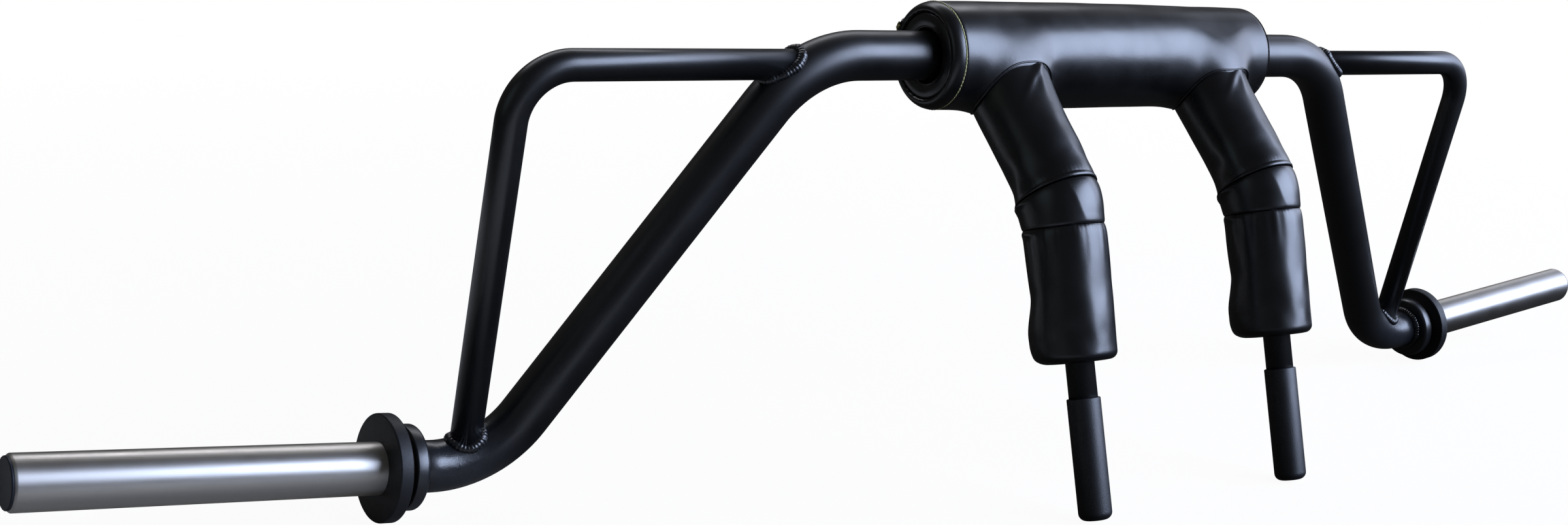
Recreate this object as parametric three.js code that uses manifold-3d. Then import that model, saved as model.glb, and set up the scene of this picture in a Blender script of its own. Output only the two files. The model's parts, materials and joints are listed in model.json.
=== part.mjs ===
// Safety squat bar: a cambered bar with a padded yoke, two padded handles and a turning sleeve
// at each end. Millimetres. The bar is drawn in the plane of its bent tube: +X along the bar,
// +Z up in that plane and -Y towards the handles. It is then leaned forward until it stands
// on its two flanges and its two grips.
import * as THREE from 'three';
import { mergeVertices } from 'three/addons/utils/BufferGeometryUtils.js';
import Module from 'manifold-3d';

const wasm = await Module();
wasm.setup();

// Fits
const seatGap = 0.3;              // between parts that touch or turn
const clothGap = 0.4;             // between a cover, its foam and what they wrap
const overrun = 20;               // how far a cutting tool passes what it cuts
const squareTurn = 90;            // degrees of a quarter turn

// Bent main tube
const tubeDiameter = 50;
const tubeWall = 5;
const shoulderReveal = 83;        // straight bare tube between pad and shoulder bend
const legRun = 290;               // sideways reach of each slanting leg
const camberDrop = 412;           // fall from the top run to the foot of the leg
const sleeveRise = 6.25;          // degrees that the sleeve line climbs outwards
const shoulderBendRadius = 122;
const footBendRadius = 100;

// Braces over the shoulders
const braceDiameter = 30;
const braceWall = 3;
const braceBelowTop = 9;          // brace axis below the top run's axis
const braceCornerOut = 15;        // brace corner beyond the foot of the leg
const braceFootOut = 25.5;        // brace foot beyond the foot of the leg
const braceBendRadius = 55;
const braceSeatShare = 0.33;      // of the tube's radius that the brace's foot stops above its level
const weldLeg = 4;

// Handles
const handleSpacing = 300;
const handleDiameter = 30;
const handleWall = 3;
const upperAngle = 59.5;          // degrees forward of straight down
const lowerAngle = 28.5;
const upperLength = 186;          // from the main tube's axis to the handle's bend
const handleBendRadius = 60;
const bareLength = 37;            // tube left bare between lower pad and grip
const gripLength = 125;
const gripDiameter = 35;
const gripEdgeRadius = 8;
const gripEndWall = 5;

// Yoke pad
const padDiameter = 110;
const padOverhang = 84;           // pad beyond the handle's axis
const padEdgeRadius = 5;
const padCrown = 1.2;
const crownShares = [0.8, 0.45];  // places along half the pad where its crown is shaped
const coverThickness = 2;
const rimWidth = 11;              // rolled rim between pad edge and end panel
const endRecess = 3;
const endHoleClearance = 4;
const closureWidth = 46;
const closureMargin = 14;

// Handle pads
const upperPadDiameter = 84;
const lowerPadDiameter = 81;
const lowerPadLength = 168;       // from the bend to the foot of the pad
const bunchFullness = 12;         // at the back, where foam bunches inside the bend
const bunchReach = 31;
const backFullness = 4.5;         // down the back of the lower pad
const footFullness = 8.5;         // more of it at the back of the foot
const footFullFrom = 73;          // its rise, measured up from the foot
const footFullTo = 28;
const footRound = 22;             // rounding of the foot's back edge
const bandAboveBend = 5;
const bandBelowBend = 30;
const seamDraw = 2.4;             // how far a seam pulls the cover in
const fullerShares = [0, 0.05, 0.2, 0.5];
const drawnInShares = [0.5, 0.8, 0.95, 1];
const lowerShares = [0, 0.05, 0.2, 0.45, 0.7, 0.84];
const hemRadius = 9;
const hemAngles = [15, 50, 90];
const bandDraw = 1.2;             // the elastic band sits this much inside the lower cover
const puckerDepth = 1;
const puckerCount = 6;
const puckerTwist = 4;            // how far the puckers slant across the band, in radians

// Sleeve assembly, measured outwards from the corner where leg line and sleeve line meet
const collarFrom = 77;
const collarDiameter = 82;
const collarLength = 13;
const collarEdge = 3;
const collarFaceEdge = 1;
const thrustWasherDiameter = 60;
const washerThickness = 3;
const hubDiameter = 66;
const hubLength = 5.4;
const flangeDiameter = 103;
const flangeThickness = 13;
const flangeEdge = 1.2;
const sleeveDiameter = 50;
const sleeveWall = 4;
const sleeveExposed = 321;
const sleeveChamfer = 2;
const shaftDiameter = 30;
const shaftPlugLength = 30;
const shaftRecess = 20;           // shaft end inside the sleeve's mouth
const shaftChamfer = 1.5;
const bushLength = 34;
const bushSetback = 1.5;
const boltDiameter = 12;
const boltLength = 28;
const boltHeadWidth = 19;
const boltHeadHeight = 7.5;
const capDiameter = 46;
const capThickness = 2;
const capEdge = 0.8;
const capPlugLength = 6;

// Facets
const tubeSides = 24;
const boreSides = 12;
const slimSides = 16;
const bearingSides = 16;
const hexSides = 6;
const rimSides = 32;
const padSides = 32;
const foamSides = 12;
const handlePadSides = 20;
const bendStep = 10;              // degrees between rings in a bend
const roundAngles = [0, 30, 60, 90];

// Sizes that follow
const radians = THREE.MathUtils.degToRad;
const tubeRadius = tubeDiameter / 2;
const padRadius = padDiameter / 2;
const padHalf = handleSpacing / 2 + padOverhang;
const legAngle = Math.atan2(camberDrop, legRun);
const shoulderX = padHalf + shoulderReveal + shoulderBendRadius * Math.tan(legAngle / 2);
const footX = shoulderX + legRun;
const collarEnd = collarFrom + collarLength;
const hubFrom = collarEnd + washerThickness + 2 * seatGap;
const flangeFrom = hubFrom + hubLength;
const flangeFace = flangeFrom + flangeThickness;
const sleeveEnd = flangeFace + sleeveExposed;
const shaftEnd = sleeveEnd - shaftRecess;
const sleeveBore = sleeveDiameter / 2 - sleeveWall;

const materials = {
  powderCoat: new THREE.MeshStandardMaterial({ color: 0x17181b, roughness: 0.42, metalness: 0.2 }),
  flangeCoat: new THREE.MeshStandardMaterial({ color: 0x1b1c1e, roughness: 0.55, metalness: 0.2 }),
  brightSteel: new THREE.MeshStandardMaterial({ color: 0xb9bbbd, roughness: 0.22, metalness: 1 }),
  shaftSteel: new THREE.MeshStandardMaterial({ color: 0x8d8f91, roughness: 0.35, metalness: 1 }),
  bronze: new THREE.MeshStandardMaterial({ color: 0x9c7440, roughness: 0.45, metalness: 1 }),
  zinc: new THREE.MeshStandardMaterial({ color: 0xa6a8aa, roughness: 0.4, metalness: 1 }),
  capPlastic: new THREE.MeshStandardMaterial({ color: 0x141414, roughness: 0.6, metalness: 0 }),
  vinyl: new THREE.MeshStandardMaterial({ color: 0x161719, roughness: 0.5, metalness: 0 }),
  foam: new THREE.MeshStandardMaterial({ color: 0x3a3a3c, roughness: 0.95, metalness: 0 }),
  gripRubber: new THREE.MeshStandardMaterial({ color: 0x1a1a1b, roughness: 0.8, metalness: 0 }),
};

// A bore whose flats clear a round of this radius, and a round that clears a bore's flats
const boreOver = (radius, sides, gap = seatGap) => (radius + gap) / Math.cos(Math.PI / sides);
const plugIn = (bore, sides, gap = seatGap) => bore * Math.cos(Math.PI / sides) - gap;

// Solids for cutting and joining
function toSolid(geometry) {
  const bare = geometry.clone();
  bare.deleteAttribute('normal');
  bare.deleteAttribute('uv');
  const merged = mergeVertices(bare);
  const vertProperties = new Float32Array(merged.attributes.position.array);
  const triVerts = new Uint32Array(merged.index.array);
  return new wasm.Manifold(new wasm.Mesh({ numProp: 3, vertProperties, triVerts }));
}

function toGeometry(solid) {
  const mesh = solid.getMesh();
  const geometry = new THREE.BufferGeometry();
  geometry.setAttribute('position', new THREE.BufferAttribute(mesh.vertProperties, 3));
  geometry.setIndex(new THREE.BufferAttribute(mesh.triVerts, 1));
  geometry.computeVertexNormals();
  return geometry;
}

const cut = (geometry, ...tools) => toGeometry(
  tools.reduce((solid, tool) => solid.subtract(toSolid(tool)), toSolid(geometry)));

// Turns the faces of a closed geometry outwards
function faceOut(geometry) {
  const flat = geometry.index ? geometry.toNonIndexed() : geometry;
  const position = flat.attributes.position;
  const [a, b, c] = [new THREE.Vector3(), new THREE.Vector3(), new THREE.Vector3()];
  let volume = 0;
  for (let i = 0; i < position.count; i += 3) {
    a.fromBufferAttribute(position, i);
    b.fromBufferAttribute(position, i + 1);
    c.fromBufferAttribute(position, i + 2);
    volume += a.dot(b.cross(c));
  }
  if (volume < 0) {
    for (let i = 0; i < position.count; i += 3) {
      b.fromBufferAttribute(position, i + 1);
      c.fromBufferAttribute(position, i + 2);
      position.setXYZ(i + 1, c.x, c.y, c.z);
      position.setXYZ(i + 2, b.x, b.y, b.z);
    }
  }
  flat.computeVertexNormals();
  return flat;
}

// Revolves a profile of [distance along X, radius] about the X axis
function revolve(profile, sides) {
  const points = profile.map(([along, radius]) => new THREE.Vector2(Math.max(radius, 0), along));
  return faceOut(new THREE.LatheGeometry(points, sides).rotateZ(-Math.PI / 2));
}

const closed = (profile) => [...profile, profile[0]];
const washer = (from, to, inner, outer, sides) => revolve(
  closed([[from, inner], [from, outer], [to, outer], [to, inner]]), sides);

// A route of straight runs joined by round bends, all in one plane. As a curve it is sampled
// at the ends of its runs and every few degrees of a bend.
class BentRoute extends THREE.Curve {
  constructor(corners, bendRadii, planeNormal) {
    super();
    this.planeNormal = planeNormal;
    this.pieces = [];
    this.stops = [0];
    this.length = 0;
    let start = corners[0];
    for (let i = 1; i < corners.length; i += 1) {
      const ahead = corners[i].clone().sub(corners[i - 1]).normalize();
      const last = i === corners.length - 1;
      const next = last ? ahead : corners[i + 1].clone().sub(corners[i]).normalize();
      const turn = ahead.angleTo(next);
      const tangent = last ? 0 : bendRadii[i - 1] * Math.tan(turn / 2);
      const end = corners[i].clone().addScaledVector(ahead, -tangent);
      this.addPiece({ start, ahead, length: start.distanceTo(end) }, 1);
      if (!last) {
        const inward = next.clone().addScaledVector(ahead, -next.dot(ahead)).normalize();
        const radius = bendRadii[i - 1];
        const steps = Math.ceil(turn / radians(bendStep));
        this.addPiece({ start: end, ahead, inward, radius, length: radius * turn }, steps);
        start = corners[i].clone().addScaledVector(next, tangent);
      }
    }
  }

  addPiece(piece, steps) {
    piece.from = this.length;
    this.pieces.push(piece);
    this.length += piece.length;
    for (let k = 1; k <= steps; k += 1) this.stops.push(piece.from + piece.length * k / steps);
  }

  // Place and heading at a distance along the route, which may lie past either end
  at(distance) {
    const piece = this.pieces.findLast((candidate) => candidate.from <= distance) ?? this.pieces[0];
    const along = distance - piece.from;
    const point = piece.start.clone();
    if (!piece.radius) return { point: point.addScaledVector(piece.ahead, along), heading: piece.ahead };
    const turned = along / piece.radius;
    point.addScaledVector(piece.ahead, piece.radius * Math.sin(turned));
    point.addScaledVector(piece.inward, piece.radius * (1 - Math.cos(turned)));
    const heading = piece.ahead.clone().multiplyScalar(Math.cos(turned));
    return { point, heading: heading.addScaledVector(piece.inward, Math.sin(turned)) };
  }

  stopAt(share) {
    const place = share * (this.stops.length - 1);
    const before = Math.min(Math.floor(place), this.stops.length - 2);
    return THREE.MathUtils.lerp(this.stops[before], this.stops[before + 1], place - before);
  }

  getPointAt(share) {
    return this.at(this.stopAt(share)).point;
  }

  getTangentAt(share) {
    return this.at(this.stopAt(share)).heading.clone();
  }
}

const circle = (radius, sides) => Array.from({ length: sides }, (_, i) => new THREE.Vector2(
  radius * Math.cos(2 * Math.PI * i / sides), radius * Math.sin(2 * Math.PI * i / sides)));

// A round bar, or a tube where a bore is given, along a bent route
function bentTube(route, radius, sides, bore = 0, innerSides = boreSides) {
  const section = new THREE.Shape(circle(radius, sides));
  if (bore) section.holes.push(new THREE.Path(circle(bore, innerSides)));
  const steps = route.stops.length - 1;
  return faceOut(new THREE.ExtrudeGeometry(section, { steps, extrudePath: route }));
}

// Carries a closed profile of [distance, radius] round a bent route, as a lathe does round a
// straight axis. The shape function may move each point of a ring in or out.
function bentLathe(route, profile, sides, shape = (distance, radius) => radius) {
  const across = route.planeNormal;
  const positions = [];
  const indices = [];
  for (const [distance, radius] of profile) {
    const { point, heading } = route.at(distance);
    const up = across.clone().cross(heading);
    for (let j = 0; j < sides; j += 1) {
      const angle = 2 * Math.PI * j / sides;
      const reach = shape(distance, radius, angle);
      const spot = point.clone().addScaledVector(across, reach * Math.cos(angle));
      spot.addScaledVector(up, reach * Math.sin(angle));
      positions.push(spot.x, spot.y, spot.z);
    }
  }
  for (let i = 0; i < profile.length; i += 1) {
    const row = i * sides;
    const nextRow = ((i + 1) % profile.length) * sides;
    for (let j = 0; j < sides; j += 1) {
      const beside = (j + 1) % sides;
      indices.push(row + j, nextRow + j, row + beside);
      indices.push(row + beside, nextRow + j, nextRow + beside);
    }
  }
  const geometry = new THREE.BufferGeometry();
  geometry.setAttribute('position', new THREE.Float32BufferAttribute(positions, 3));
  geometry.setIndex(indices);
  return faceOut(geometry);
}

function named(name, geometry, material) {
  const mesh = new THREE.Mesh(geometry, material);
  mesh.name = name;
  return mesh;
}

const alongX = new THREE.Vector3(1, 0, 0);
const alongY = new THREE.Vector3(0, 1, 0);
const sides = [{ word: 'left', sign: -1 }, { word: 'right', sign: 1 }];
const bar = new THREE.Group();

// Main tube: top run, two shoulder bends, two legs, two foot bends
const footCorner = (sign) => new THREE.Vector3(sign * footX, 0, -camberDrop);
const sleeveLine = (sign) => new THREE.Vector3(
  sign * Math.cos(radians(sleeveRise)), 0, Math.sin(radians(sleeveRise)));
const tubeEnd = (sign, reach) => footCorner(sign).addScaledVector(sleeveLine(sign), reach);

function mainRoute(reach) {
  const corners = [
    tubeEnd(-1, reach),
    footCorner(-1),
    new THREE.Vector3(-shoulderX, 0, 0),
    new THREE.Vector3(shoulderX, 0, 0),
    footCorner(1),
    tubeEnd(1, reach),
  ];
  const radii = [footBendRadius, shoulderBendRadius, shoulderBendRadius, footBendRadius];
  return new BentRoute(corners, radii, alongY);
}

const route = mainRoute(collarEnd);
const tubeBore = tubeRadius - tubeWall;
bar.add(named('main_tube', bentTube(route, tubeRadius, tubeSides, tubeBore), materials.powderCoat));
const tubeTool = bentTube(mainRoute(collarEnd + overrun), tubeRadius + seatGap, tubeSides);

// Braces: from the shoulder bend out and down to the foot bend, coped and welded at both ends
const braceRadius = braceDiameter / 2;
for (const { word, sign } of sides) {
  const turned = Math.acos(1 - braceBelowTop / shoulderBendRadius);
  const startX = padHalf + shoulderReveal + shoulderBendRadius * Math.sin(turned);
  const corner = new THREE.Vector3(sign * (footX + braceCornerOut), 0, -braceBelowTop);
  const foot = new THREE.Vector3(sign * (footX + braceFootOut), 0, -camberDrop);
  foot.lerp(corner, braceSeatShare * tubeRadius / foot.distanceTo(corner));
  const corners = [new THREE.Vector3(sign * startX, 0, -braceBelowTop), corner, foot];
  const braceRoute = new BentRoute(corners, [braceBendRadius], alongY);
  const brace = toSolid(bentTube(braceRoute, braceRadius, slimSides, braceRadius - braceWall, boreSides));
  const nearTube = toSolid(bentTube(mainRoute(collarEnd), tubeRadius + weldLeg, tubeSides));
  const bead = toSolid(bentTube(braceRoute, braceRadius + weldLeg, slimSides, braceRadius - braceWall));
  const welded = brace.add(bead.intersect(nearTube)).subtract(toSolid(tubeTool));
  bar.add(named(`brace_${word}`, toGeometry(welded), materials.powderCoat));
}

// Handles: a bent tube welded under the top run, ending in a rubber grip
const handleRadius = handleDiameter / 2;
const lean = (angle) => new THREE.Vector3(0, -Math.sin(radians(angle)), -Math.cos(radians(angle)));
const gripFrom = lowerPadLength + bareLength;
const gripEnd = gripFrom + gripLength;
const bendTurn = radians(upperAngle - lowerAngle);
const bendPoint = (sign) => new THREE.Vector3(sign * handleSpacing / 2, 0, 0)
  .addScaledVector(lean(upperAngle), upperLength);

function handleRoute(sign, reach) {
  const top = new THREE.Vector3(sign * handleSpacing / 2, 0, 0);
  const corner = bendPoint(sign);
  const end = corner.clone().addScaledVector(lean(lowerAngle), reach);
  return new BentRoute([top, corner, end], [handleBendRadius], alongX);
}

// Distance along the handle's route of a point that lies this far below the bend's corner
const bendSaving = handleBendRadius * (2 * Math.tan(bendTurn / 2) - bendTurn);
const belowBend = (reach) => upperLength + reach - bendSaving;
const midBend = upperLength - bendSaving / 2;

for (const { word, sign } of sides) {
  const steel = bentTube(handleRoute(sign, gripEnd - gripEndWall), handleRadius, slimSides,
    handleRadius - handleWall);
  bar.add(named(`handle_tube_${word}`, cut(steel, tubeTool), materials.powderCoat));

  const gripRadius = gripDiameter / 2;
  const gripBore = boreOver(handleRadius, slimSides);
  const gripFloor = gripEnd - gripEndWall + seatGap;
  const edge = roundAngles.map((angle) => [
    gripEnd - gripEdgeRadius * (1 - Math.sin(radians(angle))),
    gripRadius - gripEdgeRadius * (1 - Math.cos(radians(angle))),
  ]);
  const profile = [
    [gripFloor, 0],
    [gripFloor, gripBore],
    [gripFrom, gripBore],
    [gripFrom, gripRadius],
    ...edge,
    [gripEnd, 0],
  ];
  const grip = named(`grip_${word}`, revolve(profile, slimSides), materials.gripRubber);
  grip.position.copy(bendPoint(sign));
  grip.quaternion.setFromUnitVectors(alongX, lean(lowerAngle));
  bar.add(grip);
}

// Yoke pad: foam roll, sewn cover with rolled rims, end panels and a closing flap. Its outline
// is a rim turned in at each end, a rounded edge and a slightly crowned length.
const rimInner = padRadius - rimWidth;
const padRim = (grow) => [
  [padHalf - endRecess / 2 + grow, rimInner],
  [padHalf + grow, rimInner + endRecess],
];

const padEdge = (grow, angles = roundAngles) => angles.map((angle) => [
  padHalf - padEdgeRadius + (padEdgeRadius + grow) * Math.cos(radians(angle)),
  padRadius - padEdgeRadius + (padEdgeRadius + grow) * Math.sin(radians(angle)),
]);

const padLength = (grow) => crownShares.map((share) => [
  padHalf * share,
  padRadius + grow + padCrown * (1 - share ** 2),
]);

const mirrored = (half) => [...half, ...half.map(([along, radius]) => [-along, radius]).reverse()];
const padOutside = mirrored([...padRim(0), ...padEdge(0), ...padLength(0)]);
const padLining = mirrored([
  ...padRim(-coverThickness),
  ...padEdge(-coverThickness, [0, squareTurn]),
  ...padLength(-coverThickness),
]);
const handleTool = (sign, radius) => bentTube(handleRoute(sign, gripEnd), radius, slimSides);
const tubePassages = sides.map(({ sign }) => handleTool(sign, handleRadius + clothGap));

const coverShell = revolve(closed([...padOutside, ...padLining.reverse()]), padSides);
bar.add(named('pad_cover', cut(coverShell, ...tubePassages), materials.vinyl));

const foamBore = boreOver(tubeRadius, foamSides, clothGap);
const foamInset = -coverThickness - clothGap;
const foamEnd = padHalf - endRecess + foamInset;
const foamHalf = [
  [foamEnd, foamBore],
  [foamEnd, boreOver(rimInner, foamSides, clothGap)],
  ...padEdge(foamInset, [0, squareTurn]),
  ...padLength(foamInset),
];
const foamRoll = revolve(closed(mirrored(foamHalf)), foamSides);
bar.add(named('pad_foam', cut(foamRoll, ...tubePassages), materials.foam));

for (const { word, sign } of sides) {
  const outside = padHalf - endRecess;
  const panel = washer(sign * (outside - coverThickness), sign * outside,
    tubeRadius + endHoleClearance, plugIn(rimInner, padSides, clothGap), padSides);
  bar.add(named(`pad_end_${word}`, panel, materials.vinyl));
}

// The flap that closes the cover lies along the back of the roll
const rollOver = (grow) => revolve(mirrored([
  [padHalf + overrun, 0],
  ...padEdge(grow, [squareTurn]),
  ...padLength(grow),
]), padSides);
const flapBlock = new THREE.BoxGeometry(2 * (padHalf - closureMargin), padRadius, closureWidth);
flapBlock.translate(0, padRadius, 0);
const flapSheet = toSolid(rollOver(seatGap + coverThickness)).subtract(toSolid(rollOver(seatGap)));
const flap = flapSheet.intersect(toSolid(flapBlock));
bar.add(named('pad_closure', toGeometry(flap), materials.vinyl));

// Handle pads: a foam sleeve cut to sit on the yoke pad, in three covers joined by seams
const padTool = revolve(mirrored([
  [padHalf + clothGap, 0],
  ...padEdge(clothGap),
  ...padLength(clothGap),
]), padSides);
const upperRadius = upperPadDiameter / 2;
const lowerRadius = lowerPadDiameter / 2;
const bandRadius = lowerRadius - bandDraw;
const padFoot = belowBend(lowerPadLength);
const bandFrom = midBend - bandAboveBend;
const bandTo = midBend + bandBelowBend;
const lowerFrom = bandTo + clothGap;
const saddleFrom = padRadius / 2;
const coverBore = boreOver(handleRadius, handlePadSides, clothGap);
const foamLining = boreOver(handleRadius, foamSides, clothGap);

// The foam under each cover clears the cover's tightest seam
const foamUnder = (coverRadius) => plugIn(
  coverRadius - seamDraw - coverThickness, handlePadSides, clothGap);
const foamUnderUpper = foamUnder(upperRadius);
const foamUnderBand = foamUnder(bandRadius - puckerDepth);
const foamUnderLower = foamUnder(lowerRadius);

// How much a handle pad stands out past its round at the back
function fullnessAt(distance) {
  const { smoothstep } = THREE.MathUtils;
  const bunch = bunchFullness * Math.exp(-(((distance - midBend) / bunchReach) ** 2));
  const back = backFullness * smoothstep(distance, midBend, midBend + 2 * bunchReach);
  const foot = footFullness * smoothstep(distance, padFoot - footFullFrom, padFoot - footFullTo);
  const rounded = Math.min(Math.max(1 - (padFoot - distance) / footRound, 0), 1);
  return (bunch + back + foot) * Math.sqrt(1 - rounded ** 2);
}

const rearShare = (angle) => ((1 + Math.sin(angle)) / 2) ** 2;
const fuller = (distance, radius, angle) => radius + fullnessAt(distance) * rearShare(angle);

// A cover is drawn in at each of its seams and is full between them
const coverProfile = (from, to, radius, shares) => shares.map((share) => [
  THREE.MathUtils.lerp(from, to, share),
  radius - seamDraw * (1 - Math.sqrt(Math.sin(Math.PI * share))),
]);

const lined = (outside) => outside.map(([along, radius]) => [along, radius - coverThickness]).reverse();

for (const { word, sign } of sides) {
  const path = handleRoute(sign, gripEnd);
  const upperOutside = [
    [saddleFrom, upperRadius],
    [bandFrom - upperRadius, upperRadius],
    ...coverProfile(bandFrom - upperRadius, bandFrom - clothGap, upperRadius, drawnInShares),
  ];
  const upperProfile = [...upperOutside, ...lined(upperOutside)];
  const upperShell = bentLathe(path, upperProfile, handlePadSides, fuller);
  bar.add(named(`cover_upper_${word}`, cut(upperShell, padTool), materials.vinyl));

  const pucker = (distance, radius, angle) => {
    const share = (distance - bandFrom) / (bandTo - bandFrom);
    const folds = Math.cos(puckerCount * angle + puckerTwist * share) * Math.sin(Math.PI * share);
    return fuller(distance, radius, angle) - puckerDepth * (1 - folds) / 2;
  };
  const bandShares = [...fullerShares, ...drawnInShares.slice(1)];
  const bandOutside = coverProfile(bandFrom, bandTo, bandRadius, bandShares);
  const band = bentLathe(path, [...bandOutside, ...lined(bandOutside)], handlePadSides, pucker);
  bar.add(named(`cover_band_${word}`, band, materials.vinyl));

  // The lower cover rolls in to the tube at its foot, round the bore that the tube passes
  const fullOutside = (distance, radius, angle) => (
    radius > coverBore ? fuller(distance, radius, angle) : radius);
  const hem = (grow) => hemAngles.map((angle) => [
    padFoot - hemRadius + (hemRadius + grow) * Math.sin(radians(angle)),
    lowerRadius - hemRadius + (hemRadius + grow) * Math.cos(radians(angle)),
  ]);
  const lowerPanel = coverProfile(lowerFrom, padFoot, lowerRadius, lowerShares);
  const lower = bentLathe(path, [
    ...lowerPanel,
    ...hem(0),
    [padFoot, coverBore],
    [padFoot - coverThickness, coverBore],
    ...hem(-coverThickness).reverse(),
    ...lined(lowerPanel),
  ], handlePadSides, fullOutside);
  bar.add(named(`cover_lower_${word}`, lower, materials.vinyl));

  const stretch = (from, to, radius) => [
    [from, radius],
    ...path.stops.filter((stop) => stop > from && stop < to).map((stop) => [stop, radius]),
    [to, radius],
  ];
  const foamOutside = [
    ...stretch(saddleFrom, bandFrom - clothGap, foamUnderUpper),
    ...stretch(bandFrom - clothGap, lowerFrom, foamUnderBand),
    [lowerFrom, foamUnderLower],
    [padFoot - hemRadius, foamUnderLower],
  ];
  const foamInside = foamOutside.map(([stop]) => [stop, foamLining]).reverse();
  const foam = bentLathe(path, [...foamOutside, ...foamInside], foamSides);
  bar.add(named(`handle_foam_${word}`, cut(foam, padTool), materials.foam));
}

// Sleeve assembly: a welded collar and stub shaft on the frame, and a sleeve with its plate
// flange that turns on two bronze bushes
for (const { word, sign } of sides) {
  const end = new THREE.Group();
  end.position.copy(footCorner(sign));
  end.quaternion.setFromUnitVectors(alongX, sleeveLine(sign));
  const piece = (name, geometry, material) => end.add(named(`${name}_${word}`, geometry, material));

  const collarBore = boreOver(tubeRadius, rimSides);
  const collarRadius = collarDiameter / 2;
  piece('collar', revolve(closed([
    [collarFrom - weldLeg, collarBore],
    [collarFrom, collarBore + weldLeg],
    [collarFrom, collarRadius - collarEdge],
    [collarFrom + collarEdge, collarRadius],
    [collarEnd - collarFaceEdge, collarRadius],
    [collarEnd, collarRadius - collarFaceEdge],
    [collarEnd, collarBore],
  ]), rimSides), materials.powderCoat);

  const shaftRadius = shaftDiameter / 2;
  const plugRadius = plugIn(tubeBore, boreSides);
  const boltHole = boreOver(boltDiameter / 2, bearingSides);
  const holeFloor = shaftEnd - boltLength - 2 * seatGap;
  piece('stub_shaft', revolve([
    [collarEnd - shaftPlugLength, 0],
    [collarEnd - shaftPlugLength, plugRadius - shaftChamfer],
    [collarEnd - shaftPlugLength + shaftChamfer, plugRadius],
    [collarEnd, plugRadius],
    [collarEnd, shaftRadius],
    [shaftEnd - shaftChamfer, shaftRadius],
    [shaftEnd, shaftRadius - shaftChamfer],
    [shaftEnd, boltHole],
    [holeFloor, boltHole],
    [holeFloor, 0],
  ], bearingSides), materials.shaftSteel);

  const shaftBore = boreOver(shaftRadius, bearingSides);
  const thrustFrom = collarEnd + seatGap;
  piece('thrust_washer', washer(thrustFrom, thrustFrom + washerThickness,
    shaftBore, thrustWasherDiameter / 2, bearingSides), materials.bronze);

  const flangeRadius = flangeDiameter / 2;
  const flangeBore = boreOver(sleeveDiameter / 2, rimSides);
  piece('flange', revolve(closed([
    [hubFrom, flangeBore],
    [hubFrom, hubDiameter / 2],
    [flangeFrom, hubDiameter / 2],
    [flangeFrom, flangeRadius - flangeEdge],
    [flangeFrom + flangeEdge, flangeRadius],
    [flangeFace - flangeEdge, flangeRadius],
    [flangeFace, flangeRadius - flangeEdge],
    [flangeFace, flangeBore],
  ]), rimSides), materials.flangeCoat);

  const sleeveRadius = sleeveDiameter / 2;
  piece('sleeve', revolve(closed([
    [hubFrom, sleeveBore],
    [hubFrom, sleeveRadius],
    [sleeveEnd - sleeveChamfer, sleeveRadius],
    [sleeveEnd, sleeveRadius - sleeveChamfer],
    [sleeveEnd, sleeveBore],
  ]), rimSides), materials.brightSteel);

  const bushRadius = plugIn(sleeveBore, rimSides);
  const innerBushFrom = hubFrom + bushSetback;
  const outerBushFrom = shaftEnd - bushLength;
  piece('inner_bush', washer(innerBushFrom, innerBushFrom + bushLength,
    shaftBore, bushRadius, bearingSides), materials.bronze);
  piece('outer_bush', washer(outerBushFrom, outerBushFrom + bushLength,
    shaftBore, bushRadius, bearingSides), materials.bronze);

  const keeperFrom = shaftEnd + seatGap;
  const headFrom = keeperFrom + washerThickness + seatGap;
  piece('keeper_washer', washer(keeperFrom, keeperFrom + washerThickness,
    boltHole, bushRadius - bushSetback, bearingSides), materials.zinc);
  const rod = (from, to, radius, faces) => revolve(
    [[from, 0], [from, radius], [to, radius], [to, 0]], faces);
  const head = rod(headFrom, headFrom + boltHeadHeight, boltHeadWidth / Math.sqrt(3), hexSides);
  const shank = rod(shaftEnd - boltLength, headFrom + seatGap, boltDiameter / 2, bearingSides);
  piece('keeper_bolt', toGeometry(toSolid(head).add(toSolid(shank))), materials.zinc);

  const capRadius = capDiameter / 2;
  const capFrom = sleeveEnd + seatGap;
  const capEnd = capFrom + capThickness;
  piece('end_cap', revolve([
    [sleeveEnd - capPlugLength, 0],
    [sleeveEnd - capPlugLength, plugIn(sleeveBore, rimSides)],
    [capFrom, plugIn(sleeveBore, rimSides)],
    [capFrom, capRadius],
    [capEnd - capEdge, capRadius],
    [capEnd, capRadius - capEdge],
    [capEnd, 0],
  ], bearingSides), materials.capPlastic);
  bar.add(end);
}

// Standing: the bar leans forward until flanges and grips touch the floor together
function cornersOf(name) {
  const mesh = bar.getObjectByName(name);
  mesh.updateWorldMatrix(true, false);
  const position = mesh.geometry.attributes.position;
  return Array.from({ length: position.count }, (_, i) => new THREE.Vector3()
    .fromBufferAttribute(position, i).applyMatrix4(mesh.matrixWorld));
}

const depthWhenLeaning = (corners, angle) => Math.max(
  ...corners.map((corner) => -corner.y * Math.sin(angle) - corner.z * Math.cos(angle)));

const steepestLean = 60;
const leanSteps = 50;
const flangeCorners = cornersOf('flange_right');
const gripCorners = cornersOf('grip_right');
let leanLow = 0;
let leanHigh = radians(steepestLean);
for (let step = 0; step < leanSteps; step += 1) {
  const trial = (leanLow + leanHigh) / 2;
  const gripLower = depthWhenLeaning(gripCorners, trial) > depthWhenLeaning(flangeCorners, trial);
  leanHigh = gripLower ? trial : leanHigh;
  leanLow = gripLower ? leanLow : trial;
}
bar.rotation.x = leanLow;

// The origin lies on the floor under the middle of the bar
const safetySquatBar = new THREE.Group();
safetySquatBar.add(bar);
const extent = new THREE.Box3().setFromObject(bar, true);
const middle = extent.getCenter(new THREE.Vector3());
bar.position.set(-middle.x, -middle.y, -extent.min.z);

export default safetySquatBar;
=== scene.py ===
import json
import math

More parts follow.
